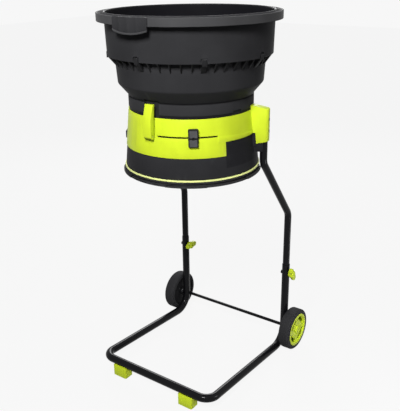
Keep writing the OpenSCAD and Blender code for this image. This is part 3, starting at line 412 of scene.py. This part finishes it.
finishPlan = {
    "hopperCharcoal": {"colour": (0.028, 0.028, 0.030), "rough": 0.44, "spec": 0.008,
                       "grain": 900, "bump": 0.10, "wear": 0.25},
    # painted shade: darker charcoal for the hopper's inside wall, the same plastic as outside
    "hopperInsideShade": {"colour": (0.009, 0.009, 0.011), "rough": 0.34, "spec": 0.02,
                     "grain": 900, "bump": 0.06, "wear": 0.10},
    # painted highlight: lighter charcoal for the rim's front face and the grip lip's bead
    "rimPaintedHighlight": {"colour": (0.048, 0.048, 0.050), "rough": 0.40, "spec": 0.03,
                    "grain": 900, "bump": 0.08, "wear": 0.25},
    "drumCharcoal": {"colour": (0.024, 0.024, 0.026), "rough": 0.42, "spec": 0.008,
                     "grain": 900, "bump": 0.10, "wear": 0.25},
    # painted shade: darker charcoal for the drum's open panels
    "drumPanelShade": {"colour": (0.017, 0.017, 0.019), "rough": 0.42, "spec": 0.008,
                  "grain": 900, "bump": 0.10, "wear": 0.20},
    "limeShell": {"colour": (0.56, 0.69, 0.026), "rough": 0.36, "spec": 0.10,
                  "grain": 700, "bump": 0.05, "wear": 0.15},
    "paleLime": {"colour": (0.80, 0.86, 0.32), "rough": 0.40, "spec": 0.16,
                 "grain": 700, "bump": 0.05, "wear": 0.15},
    # black of the small fittings, also laid on the lower hopper's neck groove, latch pockets,
    # fins and tabs as painted shade
    "blackFittingAndShade": {"colour": (0.012, 0.012, 0.013), "rough": 0.46, "spec": 0.03,
                     "grain": 1100, "bump": 0.12, "wear": 0.35},
    "glossTube": {"colour": (0.005, 0.005, 0.006), "rough": 0.15, "spec": 0.09,
                  "grain": 260, "bump": 0.02, "wear": 0.10},
    "tyreRubber": {"colour": (0.030, 0.030, 0.032), "rough": 0.74, "spec": 0.05,
                   "grain": 1400, "bump": 0.22, "wear": 0.40},
    "padGrey": {"colour": (0.070, 0.070, 0.073), "rough": 0.52, "spec": 0.06,
                "grain": 1300, "bump": 0.25, "wear": 0.30},
    "zincSteel": {"colour": (0.62, 0.63, 0.65), "rough": 0.32, "metal": 1.0,
                  "grain": 500, "bump": 0.06, "wear": 0.10},
    "sealRubber": {"colour": (0.010, 0.010, 0.010), "rough": 0.80,
                   "grain": 1500, "bump": 0.20, "wear": 0.10},
    "copperWinding": {"colour": (0.55, 0.20, 0.07), "rough": 0.35, "metal": 1.0,
                      "grain": 650, "bump": 0.25, "wear": 0.10},
    "nylonLine": {"colour": (0.55, 0.72, 0.05), "rough": 0.28,
                  "grain": 800, "bump": 0.05, "wear": 0.05},
}
surfacePlan = {
    "cloud": {"Scale": 9, "Detail": 4},
    "grainDetail": 2,
    "toneFrom": 0.30,
    "toneTo": 0.70,
    "darker": 0.90,
    "lighter": 1.10,
    "edge": (0.53, 0.62),
    "rubGain": 1.5,
    "rubLift": 0.05,
    "gloss": (0.25, 0.75),
    "smoother": 0.05,
    "rougher": 0.06,
    "relief": 0.0006,
}
colourMix = {"share": 0, "from": 6, "to": 7, "result": 2}  # sockets of the colour mix


def noise(tree, place, values):
    texture = tree.nodes.new("ShaderNodeTexNoise")
    for socket, value in values.items():
        texture.inputs[socket].default_value = value
    tree.links.new(place.outputs["Object"], texture.inputs["Vector"])
    return texture.outputs["Fac"]


def mixFinish(name, plan, shared):
    material = bpy.data.materials.new(name)
    material.use_nodes = True
    tree = material.node_tree
    add, link = tree.nodes.new, tree.links.new
    shader = tree.nodes["Principled BSDF"]
    shader.inputs["Metallic"].default_value = plan.get("metal", 0.0)
    shader.inputs["Specular IOR Level"].default_value = plan.get("spec", 0.5)
    place = add("ShaderNodeTexCoord")
    cloud = noise(tree, place, shared["cloud"])  # slow drift of tone over the moulding
    grain = noise(tree, place, {"Scale": plan["grain"], "Detail": shared["grainDetail"]})

    tone = add("ShaderNodeValToRGB")
    low, high = tone.color_ramp.elements
    low.position, high.position = shared["toneFrom"], shared["toneTo"]
    low.color = (*[c * shared["darker"] for c in plan["colour"]], 1)
    high.color = (*[min(1, c * shared["lighter"]) for c in plan["colour"]], 1)
    link(cloud, tone.inputs["Fac"])

    shape = add("ShaderNodeNewGeometry")  # pale rub marks where edges stand out
    edge = spread(tree, shape.outputs["Pointiness"], shared["edge"], (0, plan["wear"]))
    rubbed = add("ShaderNodeMath")
    rubbed.operation = "MULTIPLY"
    link(edge, rubbed.inputs[0])
    link(cloud, rubbed.inputs[1])
    paler = add("ShaderNodeMix")
    paler.data_type = "RGBA"
    rubColour = [min(1, c * shared["rubGain"] + shared["rubLift"]) for c in plan["colour"]]
    paler.inputs[colourMix["to"]].default_value = (*rubColour, 1)
    link(rubbed.outputs[0], paler.inputs[colourMix["share"]])
    link(tone.outputs["Color"], paler.inputs[colourMix["from"]])
    link(paler.outputs[colourMix["result"]], shader.inputs["Base Color"])

    gloss = (plan["rough"] - shared["smoother"], plan["rough"] + shared["rougher"])
    link(spread(tree, cloud, shared["gloss"], gloss), shader.inputs["Roughness"])
    relief = add("ShaderNodeBump")
    relief.inputs["Strength"].default_value = plan["bump"]
    relief.inputs["Distance"].default_value = shared["relief"]
    link(grain, relief.inputs["Height"])
    link(relief.outputs["Normal"], shader.inputs["Normal"])
    return material


finishes = {name: mixFinish(name, plan, surfacePlan) for name, plan in finishPlan.items()}
print("finishes mixed", len(finishes))


# upper hopper: rolled rim, turned-down skirt, grip lips and the notches for the snap tabs

hopperTopPlan = {
    "sides": 192,
    "outline": ([(284.3, 1223), (286.3, 1223), (287, 1223.8)]
                + bow(285.4, 1245.6, 1.6, 0, 90, 4)
                + [(283.6, 1247.2), (282.4, 1245.6), (274, 1245.6), (270.5, 1247.2),
                   (267.5, 1249.4)]
                + bow(264.5, 1245.5, 4.5, 90, 180, 6)
                + [(258.6, 1180), (257.25, 1132)]
                + bow(252, 1128, 5, 0, -90, 5)
                + [(233.2, 1123)]
                + bow(233.2, 1121.5, 1.5, 90, 180, 3)
                + [(230.6, 1104), (233.6, 1104), (234.7, 1120), (257.6, 1120)]
                + bow(258.0, 1122.0, 2.0, -90, 0, 4)
                + [(261.4, 1170), (263, 1222), (263, 1239), (265, 1242), (270, 1243),
                   (281, 1243), (283.4, 1242), (284.3, 1240)]),
    "notches": 8,
    "notchHalf": 12,
    "notchIn": 257.2,
    "notchOut": 280,
    "notchLow": 1112,
    "notchHigh": 1138,
    "notchRound": 10,
    "notchSteps": 6,
    "lipIn": 283.5,
    "lipOut": 289.6,
    "lipLow": 1201,
    "lipHigh": 1247.5,
    "lipSpan": 25,
    "lipSteps": 50,
    "lipSag": 9.5,
    "lipSagPower": 2.2,
    "leastLift": 0.02,
    "column": 0.02,
    "edge": 0.1,
    "lipSoft": 0.6,
    "scallops": 4,
    "scallopPitch": 6.15,
    "scallopRound": 62,
    "scallopDeep": 2.2,
    "scallopSides": 240,
    "scallopTall": 80,
    "scallopZ": 1222,
    "beadOut": 290.6,
    "beadLow": 1199.5,
    "beadHigh": 1205.5,
    "beadSpan": 25.3,
    "beadSoft": 1.8,
    "rimLow": 1223.6,
    "rimFace": 284.5,
    "rimBesideLip": 287 * math.sin(math.radians(12.7)),
    "beadFace": 289.75,
    "insideTop": 1247,
    "insideWall": 261,
}


def sagColumns(piece, plan, test):
    half = plan["lipSpan"] / 2
    columns = sorted({round(bearing(point.co), 2) for point in piece.data.vertices})
    for column in columns:
        lift = plan["lipSag"] * (abs(column) / half) ** plan["lipSagPower"]
        if lift > plan["leastLift"]:
            movePoints(piece, lambda p: test(p) and abs(bearing(p) - column) < plan["column"],
                       (0, 0, lift * mm))


def makeGripLip(plan):
    lip = spinBlock("gripLip", plan["lipIn"], plan["lipOut"], plan["lipLow"], plan["lipHigh"],
                    0, plan["lipSpan"], plan["lipSteps"])
    sagColumns(lip, plan, lambda p: p.z < (plan["lipLow"] + plan["edge"]) * mm)
    away = (plan["lipOut"] - plan["scallopDeep"] + plan["scallopRound"]) * mm
    for k in range(plan["scallops"]):
        turn = math.radians((k - (plan["scallops"] - 1) / 2) * plan["scallopPitch"])
        letGo()
        bpy.ops.mesh.primitive_cylinder_add(
            vertices=plan["scallopSides"], radius=plan["scallopRound"] * mm,
            depth=plan["scallopTall"] * mm,
            location=(away * math.sin(turn), -away * math.cos(turn), plan["scallopZ"] * mm))
        tool = bpy.context.object
        fixPlace()
        carve(lip, tool)
    softenEdges(lip, plan["lipSoft"], 30)
    bead = spinBlock("lipBead", plan["lipIn"], plan["beadOut"], plan["beadLow"],
                     plan["beadHigh"], 0, plan["beadSpan"], plan["lipSteps"])
    sagColumns(bead, plan, lambda p: True)
    softenEdges(bead, plan["beadSoft"], 40, 3)
    return weld([lip, bead], "gripLip")


def makeNotchTool(plan):
    half = plan["notchHalf"]
    tool = block("notchTool", (-half, -plan["notchOut"], plan["notchLow"]),
                 (half, -plan["notchIn"], plan["notchHigh"]))
    takeUp(tool)
    arch = tool.modifiers.new("arch", "BEVEL")
    arch.width = plan["notchRound"] * mm
    arch.segments = plan["notchSteps"]
    arch.limit_method = "WEIGHT"
    weights = tool.data.attributes.new("bevel_weight_edge", "FLOAT", "EDGE")
    middle = (plan["notchLow"] + plan["notchHigh"]) / 2 * mm
    for edge in tool.data.edges:
        a, b = (tool.data.vertices[v].co for v in edge.vertices)
        upperCorner = min(a.z, b.z) > middle and abs(a.x - b.x) < mm
        weights.data[edge.index].value = 1.0 if upperCorner else 0.0
    bpy.ops.object.modifier_apply(modifier="arch")
    return tool


def makeHopperTop(plan):
    shell = turnRings("hopperTop", plan["outline"], plan["sides"])
    tools = []
    for i in range(plan["notches"]):
        tool = makeNotchTool(plan)
        turnAbout(tool, i * 360 / plan["notches"])
        tools.append(tool)
    carve(shell, weld(tools, "notchTools"))
    lip = makeGripLip(plan)
    shell = weld([shell, lip, again(lip, 180)], "hopperTop")
    smoothOver(shell, 40)
    settle(shell, (0, drumY, 0))
    return shell


def onRimHighlight(c, n):
    plan = hopperTopPlan
    bead = fromAxis(c) > plan["beadFace"]
    if c.z < plan["rimLow"] * mm:
        return bead
    besideLip = abs(c.x) > plan["rimBesideLip"] * mm
    return fromAxis(c) > plan["rimFace"] and not looksInward(c, n) and (besideLip or bead)


def inInsideShade(c, n):
    plan = hopperTopPlan
    below = c.z < plan["insideTop"] * mm
    return below and fromAxis(c) < plan["insideWall"] and looksInward(c, n)


hopperTop = makeHopperTop(hopperTopPlan)
handOver(hopperTop, "machine", "hopperCharcoal", "hopper_top")
# painted highlight: the rim's outer face beside the lips and the lip beads are made lighter
tint(hopperTop, "rimPaintedHighlight", onRimHighlight)
# painted shade: the inside wall of the upper hopper gets a darker colour than its outside
tint(hopperTop, "hopperInsideShade", inInsideShade)
print("upper hopper made", len(hopperTop.data.polygons))


# lower hopper: bowl, funnel and neck with gusset fins, snap tabs and latch pockets

hopperBasePlan = {
    "sides": 192,
    "outline": ([(235, 1120), (229, 1034), (196.5, 999), (196.5, 943), (199.5, 943),
                 (199.5, 961), (200.9, 961), (201.5, 961.6), (201.5, 993.2), (200.9, 994),
                 (198.4, 994.4), (198.4, 996.4), (200.6, 999)]
                + bow(220, 1040, 12, -math.degrees(math.atan2(30.5, 34)), 0, 6)
                + [(235, 1082), (238, 1120)]),
    "wall": 234.5,
    "low": 1091,
    "high": 1120.2,
    "tabs": 8,
    "tabHalf": 7,
    "tabOut": 261.5,
    "tabLean": 25.3,
    "tabSoft": 0.7,
    "uprightIn": 257.6,
    "uprightLow": 1114,
    "uprightHigh": 1133,
    "uprightSlope": 2,
    "fins": 5,
    "finAngle": 7.4,
    "finHalf": 1.5,
    "finOut": 258,
    "finLean": 21.8,
    "finSoft": 0.5,
    "latchesAt": (0, 180),
    "pocket": (195.6, 226, 949, 1004),
    "pocketSpan": 16,
    "pocketBack": (192.6, 195.7, 944, 1007),
    "pocketBackSpan": 20,
    "keeper": (194, 199.5, 975.6, 984),
    "keeperSpan": 8,
    "slotAt": 80,
    "slotLow": (-18, -206, 957),
    "slotHigh": (18, -198.2, 967),
    "slotSoft": 1.8,
    "pocketTop": 1008,
    "pocketFace": 200.6,
    "finLow": 1090,
    "bowlFace": 238.4,
}


def leaningBlock(name, plan, half, out, lean):
    bit = block(name, (-half, -out, plan["low"]), (half, -plan["wall"], plan["high"]))
    moveOuterEdge(bit, False, (0, lean * mm, 0))
    return bit


def makeFin(plan):
    fin = leaningBlock("fin", plan, plan["finHalf"], plan["finOut"], plan["finLean"])
    softenEdges(fin, plan["finSoft"], 30, 1)
    return fin


def makeTab(plan):
    half, out = plan["tabHalf"], plan["tabOut"]
    foot = leaningBlock("tab", plan, half, out, plan["tabLean"])
    upright = block("tabUpright", (-half, -out, plan["uprightLow"]),
                    (half, -plan["uprightIn"], plan["uprightHigh"]))
    moveOuterEdge(upright, True, (0, 0, -plan["uprightSlope"] * mm))
    for bit in (foot, upright):
        softenEdges(bit, plan["tabSoft"], 30)
    return weld([foot, upright], "tab")


def makeHopperBase(plan):
    shell = turnRings("hopperBase", plan["outline"], plan["sides"])
    bits = []
    for at in plan["latchesAt"]:
        carve(shell, spinBlock("pocketTool", *plan["pocket"], at, plan["pocketSpan"], 12))
        bits.append(spinBlock("pocketBack", *plan["pocketBack"], at, plan["pocketBackSpan"], 14))
        bits.append(spinBlock("keeper", *plan["keeper"], at, plan["keeperSpan"], 6))
    slotTool = block("slotTool", plan["slotLow"], plan["slotHigh"])
    softenEdges(slotTool, plan["slotSoft"], 30, 3)
    turnAbout(slotTool, plan["slotAt"])
    carve(shell, slotTool)
    fin, tab = makeFin(plan), makeTab(plan)
    sector = 360 / plan["tabs"]
    for i in range(plan["tabs"]):
        bits.append(again(tab, i * sector))
        for k in range(plan["fins"]):
            aside = (k - (plan["fins"] - 1) / 2) * plan["finAngle"]
            bits.append(again(fin, (i + 0.5) * sector + aside))
    for spare in (fin, tab):
        bpy.data.objects.remove(spare)
    shell = weld([shell] + bits, "hopperBase")
    smoothOver(shell, 40)
    settle(shell, (0, drumY, 0))
    return shell


def inPaintedRecessShade(c, n):
    plan = hopperBasePlan
    neck = c.z < plan["pocketTop"] * mm and fromAxis(c) < plan["pocketFace"]
    fins = c.z > plan["finLow"] * mm and fromAxis(c) > plan["bowlFace"]
    return neck or fins


hopperBase = makeHopperBase(hopperBasePlan)
handOver(hopperBase, "machine", "hopperCharcoal", "hopper_base")
# painted shade: the neck groove, latch pockets, gusset fins and snap tabs of the lower hopper
# get the black finish
tint(hopperBase, "blackFittingAndShade", inPaintedRecessShade)
print("lower hopper made", len(hopperBase.data.polygons))


# band: raised line right of the selector's slot

bandStepPlan = {"from": 58.4, "to": 102.6, "low": 878.6, "high": 898, "end": 887,
                "deep": 4, "proud": 0.9, "steps": 24, "edge": 0.1, "column": 0.05, "soft": 0.7}
drumPlan = {"topR": 203, "topZ": 952, "slope": 18 / 183.5}  # widens downwards


def drumRadius(z):
    return drumPlan["topR"] + (drumPlan["topZ"] - z) * drumPlan["slope"]


def makeBandStep(plan):
    span = plan["to"] - plan["from"]
    lowR = drumRadius(plan["low"])
    step = spinBlock("bandStep", lowR - plan["deep"], lowR + plan["proud"], plan["low"],
                     plan["high"], plan["from"] + span / 2, span, plan["steps"])
    for i in range(plan["steps"] + 1):
        column = plan["from"] + span * i / plan["steps"]
        drop = (plan["end"] - plan["high"]) * i / plan["steps"]
        shift = drumRadius(plan["high"] + drop) - lowR
        turn = math.radians(column)
        movePoints(step, lambda p: p.z > (plan["high"] - plan["edge"]) * mm
                   and abs(bearing(p) - column) < plan["column"],
                   (shift * math.sin(turn) * mm, -shift * math.cos(turn) * mm, drop * mm))
    softenEdges(step, plan["soft"], 40)
    smoothOver(step)
    settle(step, (0, drumY, 0))
    return step


# drum: dark cheeks beside the leg covers, a black web that also stands for the shade at their
# roots, and painted shade on the panels that the band leaves open

cheekPlan = {"at": 106.8, "half": 16.05, "thick": 1.6, "rIn": 203, "rOut": 222,
             "low": 836, "high": 879, "lean": 4, "soft": 0.5}
panelShadePlan = {"from": 65.3, "to": 148.3, "low": 797, "rim": 835.5, "high": 879.5, "face": 205}


# the cheeks are thin dark sheets at the root of each leg cover: a black web of the drum that
# also stands for the shade in the gap there
def makeCheeks(plan):
    cheeks = []
    for side in (-1, 1):
        near, far = sorted((side * plan["half"], side * (plan["half"] + plan["thick"])))
        cheek = block("cheek", (near, -plan["rOut"], plan["low"]),
                      (far, -plan["rIn"], plan["high"]))
        moveOuterEdge(cheek, True, (0, plan["lean"] * mm, 0))
        softenEdges(cheek, plan["soft"], 30)
        for turn in (plan["at"], -plan["at"]):
            cheeks.append(again(cheek, turn))
        bpy.data.objects.remove(cheek)
    cheeks = weld(cheeks, "cheeks")
    settle(cheeks, (0, drumY, 0))
    return cheeks


def inPanelShade(c, n):
    plan = panelShadePlan
    uncovered = plan["from"] < abs(bearing(c, drumY)) < plan["to"]
    low = plan["low"] if uncovered else plan["rim"]
    return low * mm < c.z < plan["high"] * mm and fromAxis(c) > plan["face"]


def paintPanelShade(piece):
    scoreFaces(piece, (0, 0, panelShadePlan["low"] * mm), (0, 0, 1))
    for edge in (panelShadePlan["from"], panelShadePlan["to"]):
        for turn in (math.radians(edge), math.radians(-edge)):
            scoreFaces(piece, (0, drumY, 0), (math.cos(turn), math.sin(turn), 0))
    # painted shade: the open panels of the drum, and the cheeks in them, get a darker charcoal
    tint(piece, "drumPanelShade", inPanelShade)


# selector: grey pads on the knob's face

padPlan = {"at": 37.5, "from": 219.5, "edge": 2.0, "facing": 0.95}


def greyPads(piece):
    turn = math.radians(padPlan["at"])
    ahead = Vector((math.sin(turn), -math.cos(turn), 0))
    pickFaces(piece, lambda c, n: n.dot(ahead) > padPlan["facing"]
              and fromAxis(c) > padPlan["from"])
    bpy.ops.mesh.inset(thickness=padPlan["edge"] * mm)
    leaveEdit()
    chosen = {tuple(round(v, 6) for v in face.center)
              for face in piece.data.polygons if face.select}
    tint(piece, "padGrey", lambda c, n: tuple(round(v, 6) for v in c) in chosen)


# wheels: hubs are black from the back plate inwards, and the plates are lime on the outside

backPlane = max(point.co.x for point in nodes["wheel_back_right"].data.vertices)
outwardShare = 0.9  # least share of a plate's normal along the axle


def blackInside(piece):
    side = math.copysign(backPlane, piece.data.vertices[0].co.x)
    scoreFaces(piece, (side, 0, 0), (1, 0, 0))
    tint(piece, "blackFittingAndShade", lambda c, n: abs(c.x) < backPlane)


def limeOutside(piece):
    tint(piece, "limeShell", lambda c, n: c.x * n.x > outwardShare * abs(c.x))


# pieces that keep the solid's form, with softened edges: name, body, edge width and finish

dressPlan = {
    "housing_band": ("bandShell", "machine", 0.9, "limeShell"),
    "housing_drum": ("drumShell", "machine", 0.6, "drumCharcoal"),
    "trim_ring": ("trimRing", "machine", 1.2, "paleLime"),
    "base_guard": ("baseGuard", "machine", 0.8, "drumCharcoal"),
    "latch_front": ("frontLatch", "front_latch", 3.0, "limeShell"),
    "latch_rear": ("rearLatch", "rear_latch", 3.0, "limeShell"),
    "selector_knob": ("selectorKnob", "selector", 1.2, "blackFittingAndShade"),
    "switch_bezel": ("switchBezel", "machine", 0.7, "blackFittingAndShade"),
    "switch_rocker": ("switchRocker", "rocker", 0.5, "blackFittingAndShade"),
    "power_inlet": ("powerInlet", "machine", 0.8, "blackFittingAndShade"),
    "upper_leg_left": ("upperLegLeft", "machine", 0, "glossTube"),
    "upper_leg_right": ("upperLegRight", "machine", 0, "glossTube"),
    "lower_frame": ("lowerFrame", "machine", 0, "glossTube"),
    "knob_left": ("wingKnobLeft", "left_wing_knob", 2.4, "limeShell"),
    "knob_right": ("wingKnobRight", "right_wing_knob", 2.4, "limeShell"),
    "tyre_left": ("tyreLeft", "left_wheel", 0, "tyreRubber"),
    "tyre_right": ("tyreRight", "right_wheel", 0, "tyreRubber"),
    "hub_left": ("hubLeft", "left_wheel", 0.9, "limeShell"),
    "hub_right": ("hubRight", "right_wheel", 0.9, "limeShell"),
    "cap_left": ("capLeft", "left_wheel", 0, "limeShell"),
    "cap_right": ("capRight", "right_wheel", 0, "limeShell"),
    "wheel_back_left": ("wheelBackLeft", "left_wheel", 0.8, "blackFittingAndShade"),
    "wheel_back_right": ("wheelBackRight", "right_wheel", 0.8, "blackFittingAndShade"),
    "axle": ("axleBar", "machine", 0.8, "glossTube"),
    "foot_left": ("footLeft", "machine", 1.6, "limeShell"),
    "foot_right": ("footRight", "machine", 1.6, "limeShell"),
    "leg_bolts": ("legBolts", "machine", 0.6, "blackFittingAndShade"),
    "knob_bolts": ("knobBolts", "machine", 0.8, "blackFittingAndShade"),
}
addedForms = {
    "housing_band": lambda: makeBandStep(bandStepPlan),
    "housing_drum": lambda: makeCheeks(cheekPlan),
}
addedTints = {
    "housing_drum": paintPanelShade,
    "selector_knob": greyPads,
    "hub_left": blackInside,
    "hub_right": blackInside,
    "wheel_back_left": limeOutside,
    "wheel_back_right": limeOutside,
}
for node, (name, body, width, finish) in dressPlan.items():
    piece = dressNode(node, name, width)
    if node in addedForms:
        piece = weld([piece, addedForms[node]()], name)
    handOver(piece, body, finish, node)
    if node in addedTints:
        addedTints[node](piece)
print("kept forms dressed", len(dressPlan))


# solids that stay as they are get their finish

slotFinish = {
    "hopper_black": "hopperCharcoal",
    "lime_plastic": "limeShell",
    "dark_plastic": "blackFittingAndShade",
    "tube_paint": "glossTube",
    "steel": "zincSteel",
    "tyre_black": "tyreRubber",
    "seal_rubber": "sealRubber",
    "winding": "copperWinding",
}
oddFinish = {"cutter_lines": "nylonLine", "selector_screw": "blackFittingAndShade"}
for node, solid in nodes.items():
    finish = oddFinish.get(node, slotFinish[slotOf[node]])
    for place in solid.material_slots:
        place.material = finishes[finish]
print("inner solids finished")
